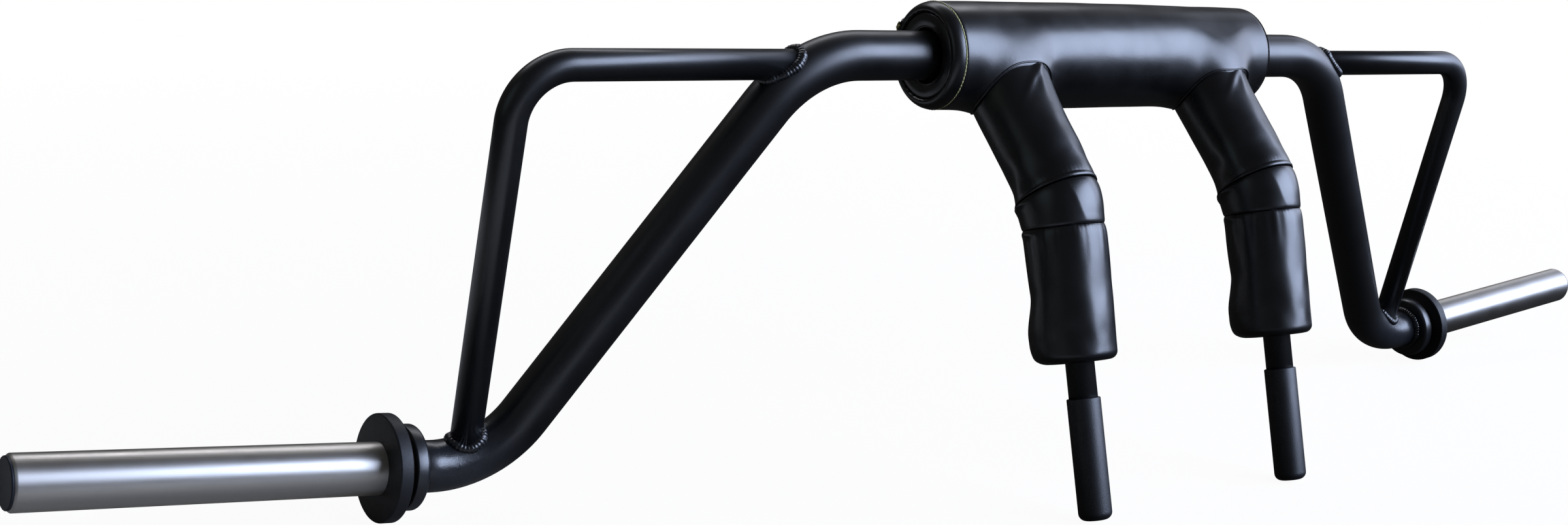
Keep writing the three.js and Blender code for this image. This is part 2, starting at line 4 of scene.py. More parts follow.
import bmesh
import bpy
from mathutils import Matrix, Vector, kdtree, noise


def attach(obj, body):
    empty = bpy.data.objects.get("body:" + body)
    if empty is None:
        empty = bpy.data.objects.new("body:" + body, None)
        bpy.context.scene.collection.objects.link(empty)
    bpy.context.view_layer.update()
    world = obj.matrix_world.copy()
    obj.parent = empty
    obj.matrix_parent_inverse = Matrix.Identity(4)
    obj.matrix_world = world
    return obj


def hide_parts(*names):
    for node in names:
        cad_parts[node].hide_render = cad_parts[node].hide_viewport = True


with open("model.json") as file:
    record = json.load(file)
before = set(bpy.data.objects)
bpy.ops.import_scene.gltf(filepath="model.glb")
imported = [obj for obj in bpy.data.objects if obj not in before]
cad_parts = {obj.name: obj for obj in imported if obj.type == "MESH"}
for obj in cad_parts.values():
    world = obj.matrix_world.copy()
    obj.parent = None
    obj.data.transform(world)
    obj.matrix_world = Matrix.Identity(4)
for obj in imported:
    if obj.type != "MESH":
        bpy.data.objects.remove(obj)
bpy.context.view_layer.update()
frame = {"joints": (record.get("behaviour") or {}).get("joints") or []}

# Camera
# Stands ahead of the left sleeve at the height of a seated person's eyes and looks along the
# bar to its far end. Its picture is wider than it is high, 2400 by 803 points.
scene = bpy.context.scene
picture_width = 2400
picture_height = 803
eye = Vector((-1.45375, -1.45960, 0.62775))
heading = math.radians(39.453)
pitch = math.radians(-15.148)
roll = math.radians(4.499)
focal_length = 2884.0
centre_of_view = (1406.7, 581.6)


def placed(name, data):
    """An object with that data, unmoved and unturned, linked into the scene."""
    item = bpy.data.objects.new(name, data)
    scene.collection.objects.link(item)
    return item


camera = placed("camera", bpy.data.cameras.new("camera"))
scene.camera = camera
camera.matrix_world = (
    Matrix.Translation(eye)
    @ Matrix.Rotation(-heading, 4, "Z")
    @ Matrix.Rotation(math.pi / 2 + pitch, 4, "X")
    @ Matrix.Rotation(roll, 4, "Z")
)
camera.data.sensor_width = 36
camera.data.lens = focal_length / picture_width * camera.data.sensor_width
camera.data.shift_x = (picture_width / 2 - centre_of_view[0]) / picture_width
camera.data.shift_y = (centre_of_view[1] - picture_height / 2) / picture_width
camera.data.clip_end = 200

# Floor and light
# A tall doorway, panes and a pale wall at the right, a dim window at the left, a skylight behind,
# and dark walls. The camera sees plain white all round, and metal mirrors a little of that. Light
# falls on black rubber mats and on a strip of pale floor under the left sleeve. The strip is
# painted darker towards the line under the bar, a painted shadow of the sleeve.
floor_half = 60
strip_middle = -0.96
strip_full = 0.28
strip_end = 0.36
bar_depth = 0.15
painted_shadow_share = 0.22
painted_shadow_reach = 0.32
mirrored_mat = 0.02
mirrored_strip = 0.04
glow_beside = 0.95
glow_reach = (1.0, 3.5)
scene.view_settings.view_transform = "Standard"


def linear(code):
    """Linear colour, as shaders take it, of a colour written as sRGB hex."""
    shares = [int(code[i:i + 2], 16) / 255 for i in (1, 3, 5)]
    return [s / 12.92 if s <= 0.04045 else ((s + 0.055) / 1.055) ** 2.4 for s in shares] + [1]


def add_node(tree, kind, inputs, **settings):
    """Adds a node with its settings. An input is a value or the socket that feeds it."""
    node = tree.nodes.new("ShaderNode" + kind)
    for name, value in settings.items():
        setattr(node, name, value)
    for key, value in inputs.items():
        if isinstance(value, bpy.types.NodeSocket):
            tree.links.new(value, node.inputs[key])
        else:
            node.inputs[key].default_value = value
    return node


def calc(tree, operation, *values):
    """Outcome of one sum on values and sockets."""
    return add_node(tree, "Math", dict(enumerate(values)), operation=operation).outputs[0]


def ranged(tree, value, start, end, low=0.0, high=1.0):
    """Carries a value from the range between start and end to that between low and high."""
    return add_node(tree, "MapRange", {"Value": value, "From Min": start, "From Max": end,
                                       "To Min": low, "To Max": high}).outputs[0]


def blend(tree, share, one, other):
    """Mixes two surfaces."""
    shaders = {0: share, 1: one.outputs[0], 2: other.outputs[0]}
    return add_node(tree, "MixShader", shaders)


def seen_share(tree, mirrored_share):
    """1 where the camera looks, and a share of it where metal or glass mirrors the place."""
    ray = add_node(tree, "LightPath", {}).outputs
    mirror = calc(tree, "MAXIMUM", ray["Is Glossy Ray"], ray["Is Transmission Ray"])
    return calc(tree, "MAXIMUM", ray["Is Camera Ray"], calc(tree, "MULTIPLY", mirror, mirrored_share))


def baked(bm, name):
    """A mesh of a finished bmesh."""
    mesh = bpy.data.meshes.new(name)
    bm.to_mesh(mesh)
    bm.free()
    return mesh


floor_paint = bpy.data.materials.new("white studio floor")
floor_paint.use_nodes = True
tree = floor_paint.node_tree
tree.nodes.clear()
place = add_node(tree, "TexCoord", {}).outputs["Object"]
axes = add_node(tree, "SeparateXYZ", {0: place}).outputs
aside = calc(tree, "ABSOLUTE", calc(tree, "SUBTRACT", axes["X"], strip_middle))
behind = calc(tree, "ABSOLUTE", calc(tree, "SUBTRACT", axes["Y"], bar_depth))
strip = ranged(tree, aside, strip_end, strip_full)
# painted shadow: the pale strip fades to the mat's colour towards the line under the bar
pale_less_painted_shadow = calc(tree, "MULTIPLY", strip, ranged(tree, behind, 0.0, painted_shadow_reach, painted_shadow_share, 1.0))
mirrored = ranged(tree, pale_less_painted_shadow, 0.0, 1.0, mirrored_mat, mirrored_strip)
rubber_mat = add_node(tree, "BsdfDiffuse", {"Color": linear("#191817")})
pale_floor = add_node(tree, "BsdfDiffuse", {"Color": linear("#DAD7D0")})
distance = add_node(tree, "VectorMath", {0: place}, operation="LENGTH").outputs["Value"]
glow_share = ranged(tree, distance, *glow_reach, glow_beside, 1.0)
white_floor = add_node(tree, "BsdfDiffuse", {"Color": linear("#FFFFFF")})
white_glow = add_node(tree, "Emission", {"Strength": 1.0})
floor_seen = blend(tree, seen_share(tree, mirrored), blend(tree, pale_less_painted_shadow, rubber_mat, pale_floor),
                   blend(tree, glow_share, white_floor, white_glow))
add_node(tree, "OutputMaterial", {"Surface": floor_seen.outputs[0]})

bm = bmesh.new()
bmesh.ops.create_grid(bm, x_segments=1, y_segments=1, size=floor_half)
floor = placed("floor", baked(bm, "floor"))
floor.data.materials.append(floor_paint)

walls = bpy.data.worlds.new("dark walls")
scene.world = walls
walls.use_nodes = True
tree = walls.node_tree
tree.nodes.clear()
dim = add_node(tree, "Background", {"Color": linear("#E4E2DE"), "Strength": 0.035})
white = add_node(tree, "Background", {"Strength": 1.0})
wall_seen = blend(tree, seen_share(tree, mirrored_mat), dim, white)
add_node(tree, "OutputWorld", {"Surface": wall_seen.outputs[0]})


def lamp(name, place, aim, size, brightness, colour):
    """A flat lamp whose face is as bright as brightness times white."""
    light = bpy.data.lights.new(name, "AREA")
    light.shape = "RECTANGLE"
    light.size, light.size_y = size
    light.energy = brightness * math.pi * size[0] * size[1]
    light.color = linear(colour)[:3]
    holder = placed(name, light)
    holder.location = place
    holder.rotation_euler = (Vector(aim) - Vector(place)).to_track_quat("-Z", "Y").to_euler()


lamp("doorway", (2.75, -3.20, 2.5), (0, 0, 2.5), (4.2, 3.4), 8.2, "#CDDDFF")
lamp("side_panes", (4.1, -0.70, 2.2), (0, -0.3, 2.2), (1.9, 2.8), 3.6, "#D2DFFF")
lamp("left_window", (-4.2, 0.1, 1.7), (0, 0, 1.5), (1.8, 2.2), 0.30, "#C4DCE8")
lamp("pale_wall", (4.6, 1.2, 2.2), (0, 0.6, 1.6), (2.6, 3.2), 1.1, "#DDE4F8")
lamp("skylight", (0.5, 2.3, 3.1), (0, 0.1, 0.2), (4.4, 0.7), 3.5, "#F4F6FF")

# Powder coat
# Black polyester powder baked on steel: satin, with a faint orange peel that is drawn coarser
# than its 0.5 mm so that it shows. Towards the welds at the foot it is rubbed and shinier, and its
# colour there is lightened to a bluish grey, a painted sheen.
peel_size = 0.0016
rub_and_sheen_middle = 0.035
rub_and_sheen_reach = 0.085
joints = {joint["name"]: joint for joint in frame["joints"]}
feet = {side: Vector(joints[side + "_sleeve_spin"]["pos_m"]) for side in ("left", "right")}
ways = {side: Vector(joints[side + "_sleeve_spin"]["axis"]) for side in ("left", "right")}


def sockets(material):
    """The inputs of a material's shader."""
    return material.node_tree.nodes["Principled BSDF"].inputs


def start_material(name, colour, roughness, metallic=0.0, specular=0.5):
    """A material for a slot, with its shader set to values that patterns may then vary."""
    material = bpy.data.materials.new(name)
    material.use_nodes = True
    sockets(material)["Base Color"].default_value = linear(colour)
    sockets(material)["Roughness"].default_value = roughness
    sockets(material)["Metallic"].default_value = metallic
    sockets(material)["Specular IOR Level"].default_value = specular
    return material


def own_place(material):
    """Place on the piece, in metres."""
    return add_node(material.node_tree, "TexCoord", {}).outputs["Object"]


def clouds(material, per_metre, detail, roughness=0.5):
    """A cloudy pattern, with that many clouds to a metre of the piece."""
    inputs = {"Vector": own_place(material), "Scale": per_metre, "Detail": detail,
              "Roughness": roughness}
    return add_node(material.node_tree, "TexNoise", inputs).outputs["Fac"]


def feed(material, key, socket):
    """Leads a socket into the material's shader."""
    material.node_tree.links.new(socket, sockets(material)[key])


def vary_colour(material, share, colour, other):
    """Colours the material from one colour to another by a pattern."""
    inputs = {"Fac": share, "Color1": linear(colour), "Color2": linear(other)}
    feed(material, "Base Color", add_node(material.node_tree, "MixRGB", inputs).outputs[0])


def vary_roughness(material, share, low, high, start=0.0, end=1.0):
    """Makes the material rougher from low to high by a pattern."""
    feed(material, "Roughness", ranged(material.node_tree, share, start, end, low, high))


def emboss(material, height, strength, depth):
    """Bumps of a pattern, on top of those that the material has."""
    inputs = {"Height": height, "Strength": strength, "Distance": depth}
    for link in sockets(material)["Normal"].links:
        inputs["Normal"] = link.from_socket
    feed(material, "Normal", add_node(material.node_tree, "Bump", inputs).outputs["Normal"])


powder_coat = start_material("baked black powder coat", "#0B0C0E", 0.42, specular=1.0)
tree = powder_coat.node_tree
near_welds = 0.0
for side, foot in feet.items():
    ends = {0: own_place(powder_coat), 1: foot + ways[side] * rub_and_sheen_middle}
    away = add_node(tree, "VectorMath", ends, operation="DISTANCE").outputs["Value"]
    near_welds = calc(tree, "MAXIMUM", near_welds, ranged(tree, away, rub_and_sheen_reach, rub_and_sheen_reach / 3))
rub_and_sheen = calc(tree, "MULTIPLY", near_welds, clouds(powder_coat, 90.0, 6.0, 0.7))
satin = ranged(tree, clouds(powder_coat, 14.0, 5.0), 0.3, 0.7, 0.32, 0.42)
feed(powder_coat, "Roughness", calc(tree, "MULTIPLY_ADD", rub_and_sheen, -0.16, satin))
# painted sheen: the rubbed patches near the welds are coloured a lighter bluish grey
vary_colour(powder_coat, rub_and_sheen, "#0B0C0E", "#2B2E34")
emboss(powder_coat, clouds(powder_coat, 1 / peel_size, 2.0), 0.35, 0.0001)
emboss(powder_coat, rub_and_sheen, 0.5, 0.0006)

# Main tube
# One 50 mm round steel tube with a 5 mm wall, cold bent four times: a top run, two legs that
# slant out and down, and a short foot at each end in line with its sleeve.
tube_radius = 0.025
tube_wall = 0.005
camber_drop = 0.412
leg_run = 0.290
shoulder_bend = 0.122
foot_bend = 0.100
ring_end = 0.090
tube_sides = 64
bend_step = math.radians(3)
merge_gap = 1e-6

lean = math.atan2(-ways["right"].y, ways["right"].z)
foot_x = feet["right"].x
shoulder_x = foot_x - leg_run
stand = (
    Matrix.Translation(feet["right"])
    @ Matrix.Rotation(lean, 4, "X")
    @ Matrix.Translation((-foot_x, 0, camber_drop))
)
unlean = Matrix.Rotation(-lean, 3, "X")


def runs(corners, bends):
    """Each straight run of a bent tube: its start, way and end. After them comes the bend that
    follows: the way to its centre, its radius and its turn."""
    here = corners[0]
    ahead = (corners[1] - corners[0]).normalized()
    for corner, after, bend in zip(corners[1:], corners[2:] + [None], bends + [0]):
        onward = (after - corner).normalized() if bend else ahead
        turn = ahead.angle(onward) if bend else 0
        inward = (onward - ahead * onward.dot(ahead)).normalized()
        yield here, ahead, corner - ahead * bend * math.tan(turn / 2), inward, bend, turn
        here = corner + onward * bend * math.tan(turn / 2)
        ahead = onward


def pull_out(bm, rim):
    """Draws a ring of faces out of a rim, and returns its new points and its new rim."""
    drawn = bmesh.ops.extrude_edge_only(bm, edges=rim)["geom"]
    fresh = {v for v in drawn if isinstance(v, bmesh.types.BMVert)}
    return fresh, [e for e in drawn if isinstance(e, bmesh.types.BMEdge) and set(e.verts) <= fresh]


def bent_skin(corners, bends, radius, sides):
    """Skin of a round tube on straight runs between corners, with a bend at each inner one."""
    bm = bmesh.new()
    facing = (corners[1] - corners[0]).normalized().to_track_quat("Z", "Y").to_matrix().to_4x4()
    bmesh.ops.create_circle(bm, segments=sides, radius=radius,
                            matrix=Matrix.Translation(corners[0]) @ facing)
    rim = list(bm.edges)
    for start, ahead, end, inward, bend, turn in runs(corners, bends):
        fresh, rim = pull_out(bm, rim)
        bmesh.ops.translate(bm, verts=list(fresh), vec=end - start)
        if bend:
            ring = list({v for e in rim for v in e.verts})
            last = bmesh.ops.spin(bm, geom=ring + rim, cent=end + inward * bend,
                                  axis=ahead.cross(inward), angle=turn,
                                  steps=math.ceil(turn / bend_step))["geom_last"]
            rim = [e for e in last if isinstance(e, bmesh.types.BMEdge)]
    return bm


def make_piece(bm, name, material, stands_for=(), placing=stand, body="frame", crisp=50):
    """Turns a finished bmesh into a smooth piece that rides on a body, crisp where it turns more."""
    bmesh.ops.remove_doubles(bm, verts=bm.verts, dist=merge_gap)
    bmesh.ops.recalc_face_normals(bm, faces=bm.faces)
    bm.transform(placing)
    piece = placed(name, baked(bm, name))
    piece.data.materials.append(material)
    piece.data.polygons.foreach_set("use_smooth", [True] * len(piece.data.polygons))
    piece.data.set_sharp_from_angle(angle=math.radians(crisp))
    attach(piece, body)
    if stands_for:
        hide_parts(*stands_for)
    return piece


def thicken(piece, wall):
    """Gives a skin its wall on the inside."""
    solid = piece.modifiers.new("wall", "SOLIDIFY")
    solid.thickness = wall
    solid.offset = -1
    solid.use_even_offset = True


main_corners = []
for sign in (-1, 1):
    way = unlean @ ways["right"]
    corner = Vector((sign * foot_x, 0, -camber_drop))
    foot_end = corner + Vector((sign * way.x, 0, way.z)) * ring_end
    main_corners += [foot_end, corner, Vector((sign * shoulder_x, 0, 0))][::-sign]
main_bends = [foot_bend, shoulder_bend, shoulder_bend, foot_bend]
tube = make_piece(bent_skin(main_corners, main_bends, tube_radius, tube_sides), "bent_tube",
                  powder_coat, ["main_tube"])
thicken(tube, tube_wall)

# Braces
# 30 mm steel tube over each shoulder, coped to the main tube at both ends and welded all
# round. A bead of weld has ripples about 3 mm apart, and the coat lies thin and shiny on it.
brace_radius = 0.015
brace_wall = 0.003
brace_below_top = 0.009
brace_corner_out = 0.015
brace_foot_out = 0.0255
brace_bend = 0.055
bead_radius = 0.0050
bead_ripple = 0.0002
bead_pitch = 0.0032
bead_lumps = 0.30
lumps_per_metre = 110
bead_sides = 10
slim_sides = 48
cope_reach = 0.080
middle_step = 0.001
signs = {"left": -1, "right": 1}

weld_coat = start_material("powder coat over weld", "#121418", 0.27, specular=1.0)
spatter = clouds(weld_coat, 700.0, 4.0)
vary_roughness(weld_coat, spatter, 0.2, 0.4)
emboss(weld_coat, spatter, 0.6, 0.0004)


def middle_line(corners, bends, spacing):
    """Points along the middle of a bent tube."""
    points = []
    for start, ahead, end, inward, bend, turn in runs(corners, bends):
        count = max(math.ceil((end - start).length / spacing), 1)
        points += [start.lerp(end, i / count) for i in range(count)]
        count = math.ceil(bend * turn / spacing)
        for angle in [turn * i / count for i in range(count)]:
            points.append(end + ahead * bend * math.sin(angle) + inward * bend * (1 - math.cos(angle)))
    return points + [corners[-1]]


tube_middle = middle_line(main_corners, main_bends, middle_step)
tube_tree = kdtree.KDTree(len(tube_middle))
for index, point in enumerate(tube_middle):
    tube_tree.insert(point, index)
tube_tree.balance()


def last_reach(holds, reach):
    """How far from 0 to reach a test holds, where it fails once and for all after that."""
    low, high = 0.0, reach
    for _ in range(30):
        middle = (low + high) / 2
        low, high = (middle, high) if holds(middle) else (low, middle)
    return low


def reach_tube(start, way):
    """How far along a line from start the skin of the main tube lies."""
    return last_reach(lambda far: tube_tree.find(start + way * far)[2] > tube_radius,
                      cope_reach + tube_radius)


def angles_round(count):
    """That many angles, evenly all round."""
    return [2 * math.pi * i / count for i in range(count)]


def strand(points, name, material, width, placing=stand, closed=True, sides=8):
    """A round strand along a line of points, as wide as width says at each run length."""
    curve = bpy.data.curves.new(name, "CURVE")
    curve.dimensions = "3D"
    curve.bevel_depth = 1.0
    curve.bevel_resolution = sides // 2 - 1
    curve.use_fill_caps = not closed
    spline = curve.splines.new("POLY")
    spline.points.add(len(points) - 1)
    spline.use_cyclic_u = closed
    run = 0.0
    for i, (point, dot) in enumerate(zip(points, spline.points)):
        run += (point - points[i - 1]).length if i else 0.0
        dot.co = (*point, 1)
        dot.radius = width(run, point)
    holder = placed(name + "_line", curve)
    mesh = bpy.data.meshes.new_from_object(holder.evaluated_get(bpy.context.evaluated_depsgraph_get()))
    bpy.data.objects.remove(holder)
    bm = bmesh.new()
    bm.from_mesh(mesh)
    return make_piece(bm, name, material, placing=placing)


def bead_width(run, point):
    """A bead swells and thins in lumps, with finer ripples on them."""
    lumps = 1 + bead_lumps * noise.noise(point * lumps_per_metre)
    return bead_radius * lumps + bead_ripple * math.sin(2 * math.pi * run / bead_pitch)


leg_angle = math.atan2(camber_drop, leg_run)
bend_from = shoulder_x - shoulder_bend * math.tan(leg_angle / 2)
brace_turn = math.acos(1 - brace_below_top / shoulder_bend)
for side, sign in signs.items():
    top = Vector((sign * (bend_from + shoulder_bend * math.sin(brace_turn)), 0, -brace_below_top))
    corner = Vector((sign * (foot_x + brace_corner_out), 0, -brace_below_top))
    foot = Vector((sign * (foot_x + brace_foot_out), 0, -camber_drop))
    ends = {}
    for label, end in (("top", top), ("foot", foot)):
        way = (end - corner).normalized()
        ends[label] = (end - way * cope_reach, way)
    bm = bent_skin([ends["top"][0], corner, ends["foot"][0]], [brace_bend], brace_radius, slim_sides)
    for label, (start, way) in ends.items():
        for v in [v for v in bm.verts if abs((v.co - start).dot(way)) < 1e-5]:
            v.co += way * reach_tube(v.co, way)
        across = way.cross(Vector((0, 1, 0)))
        line = []
        for angle in angles_round(6 * slim_sides):
            spot = start + Vector((0, brace_radius * math.cos(angle), 0))
            spot += across * brace_radius * math.sin(angle)
            line.append(spot + way * reach_tube(spot, way))
        strand(line, f"weld_{label}_{side}", weld_coat, bead_width, sides=bead_sides)
    brace = make_piece(bm, f"brace_tube_{side}", powder_coat, [f"brace_{side}"])
    thicken(brace, brace_wall)

# Rings at the foot
# A turned steel ring slipped on each end of the main tube and welded on its inner side. It
# takes the push of the sleeve. The weld is ground a little and coated with the frame.
ring_from = 0.077
ring_radius = 0.041
ring_inner_edge = 0.004
ring_face_edge = 0.0012
ring_gap = 0.0003
ring_sides = 96
ring_weld_out = 0.001
ring_weld_share = 0.9
ring_weld_dots = 400


def lathe(profile, sides):
    """Spins a profile of (distance along X, radius) about the X axis."""
    bm = bmesh.new()
    verts = [bm.verts.new((along, 0, radius)) for along, radius in profile]
    edges = [bm.edges.new(pair) for pair in zip(verts, verts[1:])]
    bmesh.ops.spin(bm, geom=verts + edges, cent=(0, 0, 0), axis=(1, 0, 0), angle=2 * math.pi,
                   steps=sides, use_merge=True)
    bmesh.ops.remove_doubles(bm, verts=bm.verts, dist=merge_gap)
    return bm


def arc(centre, radius, start, end, steps):
    """Points of a round stretch of a profile, angles in degrees from the X axis."""
    angles = [math.radians(start + (end - start) * i / steps) for i in range(steps + 1)]
    return [(centre[0] + radius * math.cos(a), centre[1] + radius * math.sin(a)) for a in angles]


def turned_rim(start, end, radius, first_edge, last_edge, steps):
    """Outside of a turned part from start to end, with its two edges rounded."""
    return (arc((start + first_edge, radius - first_edge), first_edge, 180, 90, steps[0])
            + arc((end - last_edge, radius - last_edge), last_edge, 90, 0, steps[1]))


def off_axis(along, radius, angle):
    """A point along the X axis and off it, at an angle round it."""
    return Vector((along, radius * math.cos(angle), radius * math.sin(angle)))


def at_foot(side):
    """Carries the X axis to the line of a sleeve, outwards from the corner of the leg."""
    turn = Vector((1, 0, 0)).rotation_difference(ways[side]).to_matrix().to_4x4()
    return Matrix.Translation(feet[side]) @ turn


bore = tube_radius + ring_gap
profile = [(ring_from, bore)]
profile += turned_rim(ring_from, ring_end, ring_radius, ring_inner_edge, ring_face_edge, (8, 4))
profile += [(ring_end, bore), (ring_from, bore)]
for side in signs:
    make_piece(lathe(profile, ring_sides), f"stop_ring_{side}", powder_coat, [f"collar_{side}"],
               at_foot(side))
    line = [off_axis(ring_from - ring_weld_out, tube_radius + ring_weld_out, angle)
            for angle in angles_round(ring_weld_dots)]
    strand(line, f"weld_ring_{side}", weld_coat,
           lambda run, point: bead_width(run, point) * ring_weld_share, at_foot(side), sides=bead_sides)

# Shafts, bushes, washers and bolts
# Ground steel shafts plugged into the tube, plain bronze bushes and thrust washers, and zinc
# plated keeper washers and bolts. All of them stay as the CAD has them.
scratch_size = 0.0012
ground_steel = start_material("ground shaft steel", "#8E9093", 0.32, metallic=1.0)
vary_roughness(ground_steel, clouds(ground_steel, 1 / scratch_size, 2.0), 0.26, 0.42)

bronze = start_material("sintered bronze", "#9C7440", 0.45, metallic=1.0)
vary_colour(bronze, clouds(bronze, 900.0, 3.0), "#85602F", "#B0854C")

zinc = start_material("bright zinc plate", "#B2B4B6", 0.38, metallic=1.0)
vary_colour(zinc, clouds(zinc, 160.0, 4.0), "#9FA3A8", "#C4C3BD")

inner_parts = {"stub_shaft": ground_steel, "thrust_washer": bronze, "inner_bush": bronze,
               "outer_bush": bronze, "keeper_washer": zinc, "keeper_bolt": zinc}
for name, material in inner_parts.items():
    for side in signs:
        for held in bpy.data.objects[f"{name}_{side}"].material_slots:
            held.material = material

# Plate flanges
# A steel disc on a short hub, turned and pressed on the sleeve. Its coat is duller than the
# frame's, with a tone that varies in patches.
hub_from = 0.0936
hub_radius = 0.033
hub_chamfer = 0.0008
hub_fillet = 0.0010
flange_from = 0.0990
flange_face = 0.1120
flange_radius = 0.0515
flange_edge = 0.0016
flange_gap = 0.0004
turned_sides = 128

flange_coat = start_material("matt flange coat", "#101113", 0.5)
mottle = clouds(flange_coat, 260.0, 5.0, 0.65)
vary_colour(flange_coat, clouds(flange_coat, 55.0, 3.0), "#0C0D0F", "#1C1D20")
vary_roughness(flange_coat, mottle, 0.42, 0.60)
emboss(flange_coat, mottle, 0.5, 0.0003)

bore = tube_radius + flange_gap
profile = [(hub_from, bore), (hub_from, hub_radius - hub_chamfer), (hub_from + hub_chamfer, hub_radius)]
profile += [(flange_from - hub_fillet, hub_radius), (flange_from, hub_radius + hub_fillet)]
profile += turned_rim(flange_from, flange_face, flange_radius, flange_edge, flange_edge, (6, 6))
profile += [(flange_face, bore), (hub_from, bore)]
for side in signs:
    make_piece(lathe(profile, turned_sides), f"plate_flange_{side}", flange_coat, [f"flange_{side}"],
               at_foot(side), side + "_sleeve")

# Loading sleeves
# Steel tube turned and polished on a lathe, with a chamfer at its mouth, the right one's colour a little
# darker.
# Fine grooves run round it and smear a bright spot into a line along the sleeve. They are drawn
# as bumps coarser than the real 0.1 mm.
sleeve_radius = 0.025
sleeve_wall = 0.004
sleeve_end = 0.4330
sleeve_chamfer = 0.002
chamfer_edge = 0.0003
chamfer_start = 0.0004
turning_pitch = 0.0011
steel_colours = {"left": "#EBE7E1", "right": "#D5D2CD"}

bore = sleeve_radius - sleeve_wall
profile = [(hub_from, bore), (hub_from, sleeve_radius),
           (sleeve_end - sleeve_chamfer - chamfer_start, sleeve_radius),
           (sleeve_end - sleeve_chamfer + chamfer_edge, sleeve_radius - chamfer_edge),
           (sleeve_end - chamfer_edge, sleeve_radius - sleeve_chamfer + chamfer_edge),
           (sleeve_end, sleeve_radius - sleeve_chamfer - chamfer_edge),
           (sleeve_end, bore), (hub_from, bore)]
for side in signs:
    polished = start_material("turned " + side + " sleeve steel", steel_colours[side], 0.36,
                              metallic=1.0)
    tree = polished.node_tree
    facing = add_node(tree, "NewGeometry", {}).outputs["Normal"]
    round_it = add_node(tree, "VectorMath", {0: facing, 1: ways[side]}, operation="CROSS_PRODUCT")
    along = add_node(tree, "VectorMath", {0: own_place(polished), 1: ways[side]},
                     operation="DOT_PRODUCT")
    groove = add_node(tree, "TexNoise", {"W": along.outputs["Value"], "Scale": 1 / turning_pitch,
                                         "Detail": 2.0}, noise_dimensions="1D")
    sockets(polished)["Anisotropic"].default_value = 0.75
    sockets(polished)["Anisotropic Rotation"].default_value = 0.25
    feed(polished, "Tangent", round_it.outputs["Vector"])
    vary_roughness(polished, clouds(polished, 30.0, 5.0), 0.44, 0.52, 0.35, 0.75)
    emboss(polished, groove.outputs["Fac"], 0.15, 0.0001)
    make_piece(lathe(profile, turned_sides), f"loading_sleeve_{side}", polished, [f"sleeve_{side}"],
               at_foot(side), side + "_sleeve", crisp=30)

# End caps
# A moulded black plastic plug pushed into each sleeve's mouth, with a thin flange that just
# covers the steel's inner edge. It has a fine moulded grain. Its colour is drawn a bluish dark
# grey, the bluish tint of the light on it painted in.
cap_radius = 0.023
cap_from = 0.4333
cap_thickness = 0.002
cap_edge = 0.0009
cap_plug = 0.006
cap_gap = 0.0003
cap_dish = 0.0003
cap_dish_share = 0.82
cap_sides = 96

# painted light: the cap's colours carry a bluish tint of the light that falls on it
cap_plastic = start_material("moulded polyethylene cap", "#1A1F28", 0.48)
vary_colour(cap_plastic, clouds(cap_plastic, 70.0, 4.0), "#161B24", "#262D38")
emboss(cap_plastic, clouds(cap_plastic, 1100.0, 2.0), 0.4, 0.0001)

face = cap_from + cap_thickness
plug = sleeve_radius - sleeve_wall - cap_gap
profile = [(sleeve_end - cap_plug, 0), (sleeve_end - cap_plug, plug), (cap_from, plug),
           (cap_from, cap_radius)]
profile += arc((face - cap_edge, cap_radius - cap_edge), cap_edge, 90, 0, 5)
profile += [(face - cap_dish, cap_radius * cap_dish_share), (face - cap_dish, 0)]
for side in signs:
    make_piece(lathe(profile, cap_sides), f"sleeve_cap_{side}", cap_plastic, [f"end_cap_{side}"],
               at_foot(side), side + "_sleeve")

# Handle tubes and grips
# 30 mm steel tube welded under the top run, bent forward and down, bare for a hand's breadth
# below the pad. The grips are moulded rubber sleeves pushed on to the ends.
handle_half_spacing = 0.150
handle_radius = 0.015
handle_wall = 0.003
handle_sunk = 0.002
upper_angle = math.radians(59.5)
lower_angle = math.radians(28.5)
upper_length = 0.186
handle_bend = 0.060
lower_pad_length = 0.168
bare_length = 0.037
grip_length = 0.125
grip_radius = 0.0175
grip_edge = 0.008
grip_wall = 0.005
grip_lip = 0.0012
grip_gap = 0.0003
grip_sides = 72
stipple_size = 0.0011

bend_turn = upper_angle - lower_angle
bend_tangent = handle_bend * math.tan(bend_turn / 2)
bend_start = upper_length - bend_tangent
bend_arc = handle_bend * bend_turn
bend_saving = 2 * bend_tangent - bend_arc
pad_foot = upper_length + lower_pad_length - bend_saving
grip_from = pad_foot + bare_length
grip_to = grip_from + grip_length


def down(angle):
    """The way a handle points, that far forward of straight down."""
    return Vector((0, -math.sin(angle), -math.cos(angle)))


def rearward(angle):
    """Square to the handle and to the bar, towards the back."""
    return Vector((0, math.cos(angle), -math.sin(angle)))


def on_handle(distance, across, rear):
    """Place of a point given along, across and to the rear of a handle's bent middle line."""
    turned = min(max((distance - bend_start) / handle_bend, 0), bend_turn)
    angle = upper_angle - turned
    after = max(distance - bend_start - bend_arc, 0)
    point = down(upper_angle) * min(distance, bend_start) + down(angle) * after
    point += (rearward(upper_angle) - rearward(angle)) * handle_bend
    return point + Vector((across, 0, 0)) + rearward(angle) * rear


grip_rubber = start_material("moulded grip rubber", "#121316", 0.5, specular=0.8)
bloom = clouds(grip_rubber, 40.0, 4.0)
vary_colour(grip_rubber, bloom, "#0E0F11", "#1A1B1F")
vary_roughness(grip_rubber, bloom, 0.40, 0.55)
emboss(grip_rubber, clouds(grip_rubber, 1 / stipple_size, 3.0), 0.8, 0.0002)

